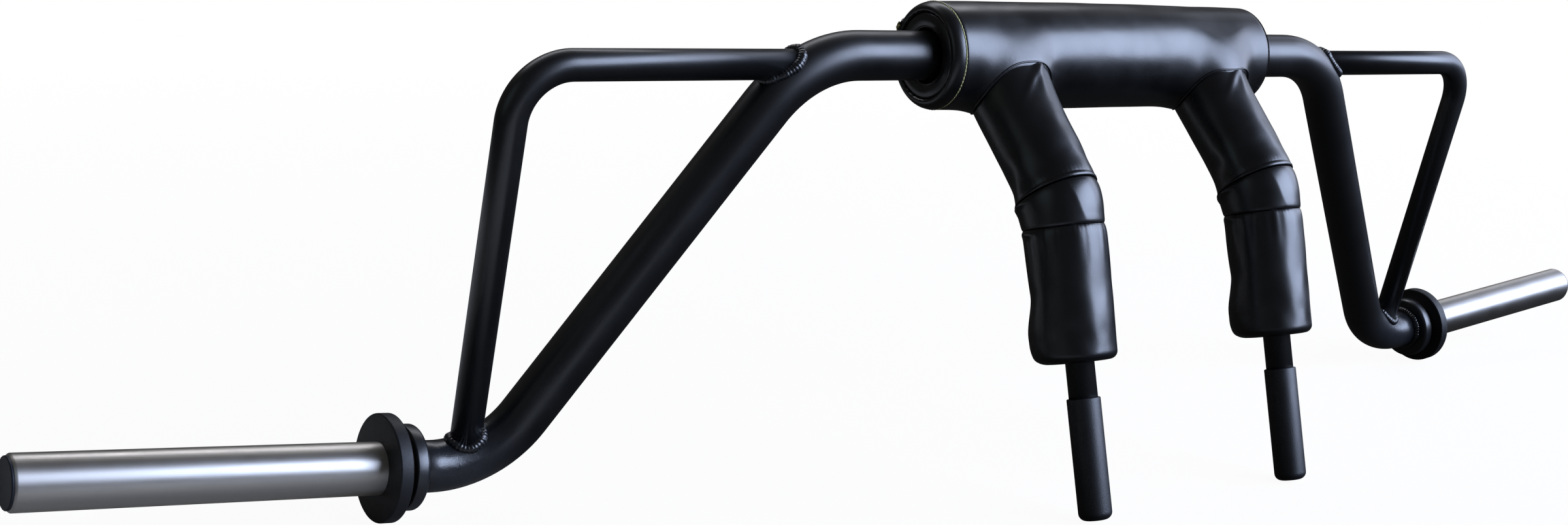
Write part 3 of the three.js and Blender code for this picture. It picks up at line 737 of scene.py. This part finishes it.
bore = handle_radius + grip_gap
grip_floor = grip_to - grip_wall + grip_gap
profile = [(grip_from, bore)]
profile += turned_rim(grip_from, grip_to, grip_radius, grip_lip, grip_edge, (4, 10))
profile += [(grip_to, 0)]
lining = baked(lathe([(grip_from, bore), (grip_floor, bore), (grip_floor, 0)], grip_sides), "lining")
handle_tops = {side: Vector((sign * handle_half_spacing, 0, 0)) for side, sign in signs.items()}
for side, top in handle_tops.items():
    bend_corner = top + down(upper_angle) * upper_length
    end = bend_corner + down(lower_angle) * (lower_pad_length + bare_length + grip_length - grip_wall)
    corners = [top + down(upper_angle) * (tube_radius - handle_sunk), bend_corner, end]
    steel = make_piece(bent_skin(corners, [handle_bend], handle_radius, slim_sides),
                       f"handle_steel_{side}", powder_coat, [f"handle_tube_{side}"])
    thicken(steel, handle_wall)
    bm = lathe(profile, grip_sides)
    bm.from_mesh(lining)
    for v in bm.verts:
        v.co = top + on_handle(*v.co)
    make_piece(bm, f"rubber_grip_{side}", grip_rubber, [f"grip_{side}"])

# Yoke pad
# A foam roll on the top run in a sewn leathercloth cover, smooth and tight. Each end is a
# narrow rounded rim, joined to the long sheet by a raised seam in pale thread, with a set-in
# panel. The sheet is drawn out into a collar over each handle, longer over the right one.
pad_radius = 0.055
pad_crown = 0.0012
pad_half = 0.234
end_seams = {"left": 0.2205, "right": 0.2320}
seam_width = 0.0009
rim_inner = 0.044
rim_full = 0.0465
seam_profile = ((-0.0008, 0.0002), (0, 0.0011), (seam_width, 0.0003))      # past the seam, sunk
inner_profile = ((0.0006, 0.0010), (0.0022, 0.0001), (0.0040, 0), (0.0080, 0.0006))  # inside, wider
rim_steps = 14
barrel_steps = 96
cover_thickness = 0.0016
cover_sides = 192
rim_gathers = 34
gather_depth = 0.0007
gather_pull = 0.0006
gather_reach = 0.0022
rim_margin = 0.003
cover_waves = 0.0004
handle_full = 0.0420
aslant = math.radians(-50)
aslant_spread = math.radians(25)
aslant_shift = 0.0015
aslant_swell = 0.0060
aslant_until = 0.050
aslant_fading = 0.045
collar_gap = 0.0012
collar_flare = 0.0058
tongues = {"left": (0.0090, 0.0125), "right": (0.0210, 0.0165)}            # drawn down, fading
tongue_at = math.radians(-82)
tongue_spread = math.radians(43)
tongue_share = 0.4
cutter_middle = 0.085
cutter_length = 0.15
cutter_sides = 128
rough_rings = 72
rough_sides = 84
stiff_passes = 8
last_frame = 20
loose_hold = 0.1
grain_size = 0.0013

leathercloth = start_material("black leathercloth", "#08090B", 0.3, specular=1.0)
slack = clouds(leathercloth, 26.0, 3.0)
grain = add_node(leathercloth.node_tree, "TexVoronoi",
                 {"Vector": own_place(leathercloth), "Scale": 1 / grain_size, "Smoothness": 0.6},
                 feature="SMOOTH_F1")
vary_colour(leathercloth, clouds(leathercloth, 9.0, 2.0), "#070809", "#0D0E11")
vary_roughness(leathercloth, slack, 0.28, 0.38, 0.3, 0.7)
emboss(leathercloth, slack, 0.25, 0.0012)
emboss(leathercloth, grain.outputs["Distance"], 0.3, 0.0001)


def settle(name, rings, place_at, sewn_at, growth, pressure, most):
    """Cloth simulation of a round cover on an even grid: the foam presses from inside on
    leathercloth that is cut a little too large and held where it is sewn, and it finds its own
    slack, no further than most. Returns the move at any ring and angle, between points too."""
    bm = bmesh.new()
    angles = angles_round(rough_sides)
    grid = [[bm.verts.new(place_at(i, angle)) for angle in angles] for i in range(rings + 1)]
    for one, other in zip(grid, grid[1:]):
        for j in range(rough_sides):
            bm.faces.new((one[j - 1], one[j], other[j], other[j - 1]))
    before = [v.co.copy() for v in bm.verts]
    piece = make_piece(bm, name, leathercloth, placing=Matrix.Identity(4))
    group = piece.vertex_groups.new(name="sewn")
    for i in range(rings + 1):
        row = list(range(i * rough_sides, (i + 1) * rough_sides))
        group.add(row, 1.0 if sewn_at(i) else loose_hold, "REPLACE")
    cloth = piece.modifiers.new("cloth", "CLOTH")
    rules = cloth.settings
    rules.quality = 6
    rules.mass = 0.3
    rules.tension_stiffness = rules.compression_stiffness = 30
    rules.shear_stiffness = 15
    rules.bending_stiffness = 3
    rules.tension_damping = rules.compression_damping = rules.shear_damping = 15
    rules.use_pressure = True
    rules.uniform_pressure_force = pressure
    rules.shrink_min = -growth
    rules.vertex_group_mass = group.name
    rules.pin_stiffness = 1.0
    rules.effector_weights.gravity = 0
    cloth.collision_settings.use_collision = False
    cloth.point_cache.frame_start = 1
    cloth.point_cache.frame_end = last_frame
    for moment in range(1, last_frame + 1):
        scene.frame_set(moment)
    settled = piece.evaluated_get(bpy.context.evaluated_depsgraph_get()).data
    moves = [after.co - start for after, start in zip(settled.vertices, before)]
    moves = [move * min(1, most / max(move.length, 1e-9)) for move in moves]
    bpy.data.objects.remove(piece)
    scene.frame_set(1)
    moves = [moves[i * rough_sides:(i + 1) * rough_sides] for i in range(rings + 1)]
    for _ in range(stiff_passes):
        moves = [[(moves[max(i - 1, 0)][j] + moves[min(i + 1, rings)][j] + moves[i][j - 1]
                   + moves[i][(j + 1) % rough_sides] + moves[i][j] * 2) / 6
                  for j in range(rough_sides)] for i in range(rings + 1)]

    def move_at(ring, angle):
        column = angle / (2 * math.pi) * rough_sides
        i, j = min(max(int(ring), 0), rings - 1), math.floor(column)
        down_share, round_share = min(max(ring - i, 0), 1), column - j
        here, beyond = [moves[i][k % rough_sides].lerp(moves[i + 1][k % rough_sides], down_share)
                        for k in (j, j + 1)]
        return here.lerp(beyond, round_share)

    return move_at


def near(value, place, reach):
    """1 at a place, falling to nothing over a reach on both sides of it."""
    return math.exp(-((value - place) / reach) ** 2)


def near_angle(angle, middle, reach):
    """As near, for angles, which come round again."""
    return near((angle - middle + math.pi) % (2 * math.pi) - math.pi, 0, reach)


def top_round(distance, angle):
    """Radius of a handle pad above its bend: it sits askew and swells under the yoke pad."""
    fading = math.exp(-max(distance - aslant_until, 0) / aslant_fading)
    askew = aslant_shift * math.cos(angle - aslant)
    return handle_full + fading * (askew + aslant_swell * near_angle(angle, aslant, aslant_spread))


def hole_radius(angle):
    """Radius of the hole of a collar, at an angle round the handle."""
    return top_round(0, angle) + collar_gap


def collar_lift(side, angle):
    """How far the collar reaches down the handle from the roll."""
    return collar_flare + tongues[side][0] * near_angle(angle, tongue_at, tongue_spread)


def beside_handle(angle):
    """The way out from a handle's middle line, at an angle round it."""
    return Vector((math.cos(angle), 0, 0)) + rearward(upper_angle) * math.sin(angle)


def drawn_out(point):
    """Where a point of the roll's sheet goes when the collars are drawn down the handles."""
    for side, top in handle_tops.items():
        offset = point - top
        if offset.dot(down(upper_angle)) > 0:
            rear = offset.dot(rearward(upper_angle))
            angle = math.atan2(rear, offset.x)
            wide = 1 - tongue_share + tongue_share * near_angle(angle, tongue_at, tongue_spread)
            reach = tongues[side][1] * wide
            away = max(math.hypot(offset.x, rear) - hole_radius(angle), 0) / reach
            point = point + down(upper_angle) * collar_lift(side, angle) * math.exp(-away ** 1.2)
    return point


def roll_radius(along):
    """Radius of the yoke pad at a distance from its middle."""
    return pad_radius + pad_crown * (1 - (along / pad_half) ** 2)


def seam_beyond(along):
    """Distance from the middle of the end seam on that side of it."""
    return end_seams["right" if along > 0 else "left"]


def off_roll(point):
    """Radius of a point of the roll, its angle, and the way straight out from the roll."""
    radius = math.hypot(point.y, point.z)
    return radius, math.atan2(point.z, point.y), Vector((0, point.y, point.z)) / radius


profile = []
for side, sign in signs.items():
    seam = end_seams[side]
    rim_from = seam + seam_width
    half = [(seam * i / barrel_steps, roll_radius(seam * i / barrel_steps))
            for i in range(barrel_steps)]
    half += [(seam + past, pad_radius - sunk) for past, sunk in seam_profile]
    for step in range(1, rim_steps + 1):
        angle = math.pi / 2 * step / rim_steps
        half.append((rim_from + (pad_half - rim_from) * math.sin(angle),
                     rim_full + (pad_radius - rim_full) * math.cos(angle)))
    half += [(pad_half - inside, rim_inner + wider) for inside, wider in inner_profile]
    half = [(sign * along, radius) for along, radius in half]
    profile = list(reversed(half[1:])) if side == "left" else profile + half

sheet_step = sum(end_seams.values()) / rough_rings


def sheet_place(ring, angle):
    """Place on the sheet between the end seams."""
    along = ring * sheet_step - end_seams["left"]
    return drawn_out(off_axis(along, roll_radius(along), angle))


sheet_move = settle("settling_sheet", rough_rings, sheet_place, lambda ring: ring in (0, rough_rings),
                    growth=0.001, pressure=2.5, most=0.0006)
bm = lathe(profile, cover_sides)
for v in bm.verts:
    radius, angle, outward = off_roll(v.co)
    on_rim = abs(v.co.x) > seam_beyond(v.co.x) + rim_margin
    inner_rim = near(radius, rim_inner, gather_reach) if on_rim else 0
    if inner_rim > 0.01:
        loose = 0.5 + 0.5 * noise.noise(Vector((angle * 1.5, v.co.x * 4, 7)))
        gather = math.sin(rim_gathers * angle + 4 * noise.noise(v.co * 25)) * loose
        v.co -= outward * gather_depth * gather * inner_rim
        v.co.x -= math.copysign(gather_pull * gather * inner_rim, v.co.x)
    v.co += outward * noise.noise(v.co * 16 + Vector((5, 1, 3))) * cover_waves
    v.co = drawn_out(v.co) + sheet_move((v.co.x + end_seams["left"]) / sheet_step, angle)
cover = make_piece(bm, "yoke_cover", leathercloth, ["pad_cover", "pad_foam"])
thicken(cover, cover_thickness)
cutters = []
for side, top in handle_tops.items():
    bm = bmesh.new()
    bmesh.ops.create_cone(bm, cap_ends=True, segments=cutter_sides, radius1=1, radius2=1,
                          depth=cutter_length)
    for v in bm.verts:
        angle = math.atan2(v.co.y, v.co.x)
        v.co = (top + down(upper_angle) * (cutter_middle + v.co.z)
                + beside_handle(angle) * hole_radius(angle))
    bm.transform(stand)
    cutter = placed("cutter", baked(bm, "cutter"))
    hole = cover.modifiers.new("hole", "BOOLEAN")
    hole.operation = "DIFFERENCE"
    hole.solver = "EXACT"
    hole.object = cutter
    cutters.append(cutter)
cut_mesh = bpy.data.meshes.new_from_object(cover.evaluated_get(bpy.context.evaluated_depsgraph_get()))
cover.modifiers.clear()
cover.data = cut_mesh
for cutter in cutters:
    bpy.data.objects.remove(cutter)

# The edge of each collar is turned under over a cord, which leaves a fine bright lip
lip_radius = 0.0011
lip_out = 0.0002
lip_dots = 240
lip_search = 0.12


def in_roll(point):
    """Whether a point lies inside the round of the yoke pad."""
    return math.hypot(point.y, point.z) < roll_radius(point.x)


for side, top in handle_tops.items():
    lip = []
    for angle in angles_round(lip_dots):
        spot = top + beside_handle(angle) * (hole_radius(angle) + lip_out)
        skin = last_reach(lambda far: in_roll(spot + down(upper_angle) * far), lip_search)
        lip.append(spot + down(upper_angle) * (skin + collar_lift(side, angle)))
    strand(lip, f"collar_lip_{side}", leathercloth, lambda run, point: lip_radius)

# End panels of the yoke pad
# A disc of the same leathercloth set into each rim, slightly bulged, with a turned-in hole that
# leaves nearly 4 mm free all round the tube.
panel_recess = 0.0025
panel_hole = 0.0288
panel_bulge = 0.0016
panel_hem = 0.0015
panel_waves = 0.0005
panel_sides = 144

outer = rim_inner + 0.0004
face = pad_half - panel_recess
profile = [(face - 0.003, outer), (face - 0.0012, outer - 0.0006)]
for share in [step / 10 for step in range(1, 10)]:
    profile.append((face + panel_bulge * math.sin(math.pi * share), outer + (panel_hole - outer) * share))
profile += arc((face - panel_hem, panel_hole + 0.0008), panel_hem, 80, -90, 6)[1:]
profile += [(face - 0.010, panel_hole - 0.0006)]
for side, sign in signs.items():
    bm = lathe([(sign * along, radius) for along, radius in profile], panel_sides)
    for v in bm.verts:
        angle = off_roll(v.co)[1]
        v.co.x += panel_waves * noise.noise(Vector((math.cos(angle) * 2, math.sin(angle) * 2,
                                                    v.co.z * 40)))
    panel = make_piece(bm, f"end_panel_{side}", leathercloth, [f"pad_end_{side}"], crisp=80)
    thicken(panel, cover_thickness)

# Thread
# Pale olive bonded nylon, 1.6 mm thick, its twist drawn as bumps: a lockstitch round each end
# seam of the yoke pad, and crossed stitches where the closing flap runs over the rim.
stitch_pitch = 0.0042
thread_radius = 0.00080
thread_thin = 0.55
thread_dip = 0.0006
thread_sunk = {"left": 0.0001, "right": 0.0022}
tack_angles = ((14, 22), (22, 14), (18, 19))
tack_thickness = 1.3
tack_lift = 0.0021
tack_bow = 0.0006
tack_from = 0.60
tack_reach = 0.38

thread = start_material("bonded nylon thread", "#D2CE88", 0.55)
ply = clouds(thread, 1500.0, 2.0)
vary_colour(thread, ply, "#BDB96A", "#ECE8B0")
emboss(thread, ply, 0.7, 0.0003)


def stitch_width(run, point):
    """Thread is thin where it goes under, once each stitch."""
    up = abs(math.sin(math.pi * run / stitch_pitch)) ** 0.4
    return thread_radius * (thread_thin + (1 - thread_thin) * up)


stitches = round(2 * math.pi * pad_radius / stitch_pitch)
dots_per_stitch = 8
for side, sign in signs.items():
    line = []
    for angle in angles_round(stitches * dots_per_stitch):
        dip = thread_dip * (1 - abs(math.sin(angle * stitches / 2)) ** 0.4)
        line.append(off_axis(sign * (end_seams[side] + seam_width),
                             pad_radius - thread_sunk[side] - dip, angle))
    strand(line, f"end_stitching_{side}", thread, stitch_width)
    rim_reach = pad_half - end_seams[side]
    for number, (from_angle, to_angle) in enumerate(tack_angles):
        line = []
        for share in [i / 12 for i in range(13)]:
            sweep = math.pi / 2 * (tack_from + tack_reach * share)
            angle = math.radians(from_angle + (to_angle - from_angle) * share)
            bow = tack_lift + tack_bow * math.sin(math.pi * share)
            line.append(off_axis(sign * (end_seams[side] + (rim_reach + bow) * math.sin(sweep)),
                                 rim_full + (pad_radius - rim_full + bow) * math.cos(sweep), angle))
        strand(line, f"flap_tack_{side}_{number}", thread,
               lambda run, point: thread_radius * tack_thickness, closed=False)

# Closing flap
# A strip of leathercloth along the back of the roll and over its rims that hides how the cover
# is closed, held by hook tape under it. Its edges are turned in and sewn down.
flap_width = 0.046
flap_margin = 0.0008
flap_lift = 0.0004
flap_seam_in = 0.0035
flap_seam_width = 0.0012
flap_seam_depth = 0.0006
flap_waves = 0.0003
flap_steps = 120
flap_rows = 24
flap_half_angle = math.asin(flap_width / 2 / pad_radius)
flap_half = pad_half - flap_margin

bm = bmesh.new()
flap_line = []
for i in range(flap_steps + 1):
    along = flap_half * math.sin(math.pi * (i / flap_steps - 0.5))
    seam = seam_beyond(along)
    over_rim = max(abs(along) - seam, 0) / (pad_half - seam)
    reach = roll_radius(along) + flap_lift + cover_thickness
    reach -= (pad_radius - rim_full) * (1 - math.sqrt(1 - over_rim ** 2))
    flap_line.append(bm.verts.new(off_axis(along, reach, -flap_half_angle)))
flap_edges = [bm.edges.new(pair) for pair in zip(flap_line, flap_line[1:])]
bmesh.ops.spin(bm, geom=flap_line + flap_edges, cent=(0, 0, 0), axis=(1, 0, 0),
               angle=2 * flap_half_angle, steps=flap_rows)
for v in bm.verts:
    radius, angle, outward = off_roll(v.co)
    from_edge = min((flap_half_angle - abs(angle)) * radius, flap_half - abs(v.co.x))
    groove = near(from_edge, flap_seam_in, flap_seam_width)
    v.co += outward * (noise.noise(v.co * 30) * flap_waves - groove * flap_seam_depth)
flap = make_piece(bm, "closing_flap", leathercloth, ["pad_closure"])
thicken(flap, cover_thickness)

# Handle pads
# A foam sleeve on each handle in three covers of leathercloth sewn end to end: an upper one that
# goes under the yoke pad's collar and ends in a hem, a band round the bend, and a lower one that
# is gathered on to the band and rolled under at its foot. The foam bunches at the back.
bend_full = 0.0403
bend_full_at = (0.130, 0.175)
lower_full = 0.0411
lower_full_at = (0.205, 0.230)
foot_full = 0.0400
foot_slims_from = 0.260
bunch_fullness = 0.0120
bunch_reach = 0.031
back_fullness = 0.0045
foot_fullness = 0.0085
foot_full_from = 0.073
foot_full_to = 0.028
foot_round = 0.022
hem_round = 0.008
under_foot = ((0.3, 0.0002), (0.55, 0.0012), (0.85, 0.0022), (1.0, 0.0040), (0.0, 0.0120))
bend_middle = upper_length - bend_saving / 2
top_seam = bend_middle - 0.005
low_seam = bend_middle + 0.030
seam_gap = 0.0002
hem_lift = 0.0004
hem_edges = (0.0026, 0.0034)
hem_groove = 0.0004
hem_groove_at = 0.0036
top_seam_depth = 0.0012
band_draw = (0.0016, 0.0013)
lower_draw = 0.0017
pucker_count = 52
pucker_depth = 0.0002
tuck_count = 58
tuck_depth = 0.0007
fold_depth = 0.0007
seam_lump = 0.0020
seam_lump_at = 2.7
collar_creases = ((-1.15, -22.0, 0.0016), (-1.20, -6.0, 0.0018))   # angle, slant per metre, depth
band_ridge = 0.0016
band_ridge_at = -2.12
band_ridge_slant = 0.42
cover_from = 0.030
handle_gap = 0.004
fine_sides = 168
fine_gap = 0.0019
skin_sunk = 0.0006
top_held = 0.050
foot_held = 0.010
seam_rows = (-0.0036, -0.0028, -0.0008, 0.0008, 0.0026)
foot_rows = (0.5, 0.25, 0.1, 0.03)
fold_seeds = {"left": 3.0, "right": 14.0}


def ease(value, start, end):
    """0 before start and 1 after end, smooth between."""
    share = min(max((value - start) / (end - start), 0), 1)
    return share * share * (3 - 2 * share)


def pad_round(distance, angle):
    """Radius of a handle pad without its folds, at a distance down it and an angle round it."""
    radius = top_round(distance, angle) + (bend_full - handle_full) * ease(distance, *bend_full_at)
    radius += (lower_full - bend_full) * ease(distance, *lower_full_at)
    radius += (foot_full - lower_full) * ease(distance, foot_slims_from, pad_foot)
    rear = ((1 + math.sin(angle)) / 2) ** 2
    full = bunch_fullness * near(distance, bend_middle, bunch_reach)
    full += back_fullness * ease(distance, bend_middle, bend_middle + 2 * bunch_reach)
    full += foot_fullness * ease(distance, pad_foot - foot_full_from, pad_foot - foot_full_to)
    to_foot = pad_foot - distance
    rounded = min(max(1 - to_foot / foot_round, 0), 1)
    radius += full * rear * math.sqrt(1 - rounded ** 2)
    tucked = min(max(1 - to_foot / hem_round, 0), 1)
    return radius - hem_round * (1 - math.sqrt(1 - tucked ** 2))


def lumps_round(angle, count, level):
    """Wandering unevenness round a pad, with count lumps to its radius."""
    return noise.noise(Vector((math.cos(angle) * count, math.sin(angle) * count, level)))


def seam_shape(distance, angle, seed):
    """How far the seams, the hem and the tucks draw the finished cover in (-) or out (+)."""
    lift = 0.0
    above = top_seam - distance
    below = distance - low_seam
    wave = lumps_round(angle, 3, seed)
    if above > 0:
        lift += hem_lift * ease(above, 0.0, 0.0008) * (1 - ease(above, *hem_edges))
        lift -= hem_groove * near(above, hem_groove_at, 0.0008)
        lift -= top_seam_depth * near(above, 0.0, 0.0006)
        pucker = 0.5 + 0.5 * math.sin(pucker_count * angle + 5 * wave)
        lift -= pucker_depth * pucker * near(above, 0.0050, 0.0020)
    elif below < 0:
        lift -= band_draw[0] * math.exp(above / 0.0022)
        lift -= band_draw[1] * math.exp(below / 0.0020)
    else:
        lift -= lower_draw * math.exp(-below / 0.0028)
        tuck = (0.5 + 0.5 * math.sin(tuck_count * angle + 6 * wave)) * (0.6 + 0.8 * wave)
        lift -= tuck_depth * tuck * math.exp(-below / 0.0042)
        lift += fold_depth * lumps_round(angle, 5.5, seed + 9) * near(below, 0.012, 0.022)
    for seam in (top_seam, low_seam):
        lift += seam_lump * near_angle(angle, seam_lump_at, 0.4) * near(distance, seam + 0.004, 0.004)
    return lift


def fold_shape(distance, angle, seed):
    """Creases that show in the finished covers: below the collar, over the band, at the foot."""
    lift = 0.0
    wander = noise.noise(Vector((distance * 20, seed, 2))) * 0.10
    for middle, slant, depth in collar_creases:
        ridge = near(angle, middle + wander + slant * (distance - 0.048), 0.13)
        lift += depth * ridge * ease(distance, 0.040, 0.052) * (1 - ease(distance, 0.060, 0.100))
    if top_seam < distance < low_seam:
        down_band = (distance - top_seam) / (low_seam - top_seam)
        off_ridge = abs(angle - band_ridge_at - band_ridge_slant * down_band)
        lift += band_ridge * math.exp(-off_ridge / 0.35) * math.sin(math.pi * down_band) ** 0.5
    return lift + fold_depth * lumps_round(angle, 1.6, distance * 22 + seed)


def pad_place(top, distance, angle, folded):
    """Place on a handle's cover, a little below its surface."""
    radius = pad_round(distance, angle) - skin_sunk + folded
    return top + on_handle(distance, radius * math.cos(angle), radius * math.sin(angle))


def pad_sewn(distance):
    """Whether a handle's cover is held at that distance."""
    held = distance < top_held or distance > pad_foot - foot_held
    return held or min(abs(distance - top_seam), abs(distance - low_seam)) < 0.6 * handle_step


handle_rings = round((pad_foot - cover_from) / handle_gap)
handle_step = (pad_foot - cover_from) / handle_rings
for side, top in handle_tops.items():
    seed = fold_seeds[side]
    pad_move = settle(
        "settling_" + side, handle_rings,
        lambda ring, angle: pad_place(top, cover_from + ring * handle_step, angle, 0),
        lambda ring: pad_sewn(cover_from + ring * handle_step),
        growth=0.005, pressure=3.0, most=0.0025)
    spans = {
        "upper": (cover_from, top_seam - seam_gap),
        "band": (top_seam + seam_gap, low_seam - seam_gap),
        "lower": (low_seam + seam_gap, pad_foot),
    }
    for word, (start, end) in spans.items():
        rows = round((end - start) / fine_gap)
        stops = [start + (end - start) * i / rows for i in range(rows + 1)]
        for seam in (top_seam, low_seam):
            stops += [seam + by for by in seam_rows if start < seam + by < end]
        if word == "lower":
            stops += [pad_foot - hem_round * share for share in foot_rows]
        bm = lathe([(stop, handle_full) for stop in sorted(stops)], fine_sides)
        for v in bm.verts:
            distance, angle = v.co.x, math.atan2(v.co.z, v.co.y)
            folded = seam_shape(distance, angle, seed) + fold_shape(distance, angle, seed)
            v.co = pad_place(top, distance, angle, folded)
            v.co += pad_move((distance - cover_from) / handle_step, angle)
        stands_for = [f"cover_{word}_{side}"]
        if word == "lower":
            stands_for.append(f"handle_foam_{side}")
            foot_way = down(lower_angle)
            middle = top + on_handle(pad_foot, 0, 0)
            rim = [e for e in bm.edges if e.is_boundary and
                   all((v.co - middle).dot(foot_way) > -hem_round / 2 for v in e.verts)]
            for share, sink in under_foot:
                fresh, rim = pull_out(bm, rim)
                for v in fresh:
                    offset = v.co - middle
                    flat = offset - foot_way * offset.dot(foot_way)
                    inner = flat.normalized() * (handle_radius + skin_sunk)
                    v.co = middle + flat.lerp(inner, share) - foot_way * sink
        cover = make_piece(bm, f"handle_{word}_{side}", leathercloth, stands_for, crisp=180)
        thicken(cover, cover_thickness)
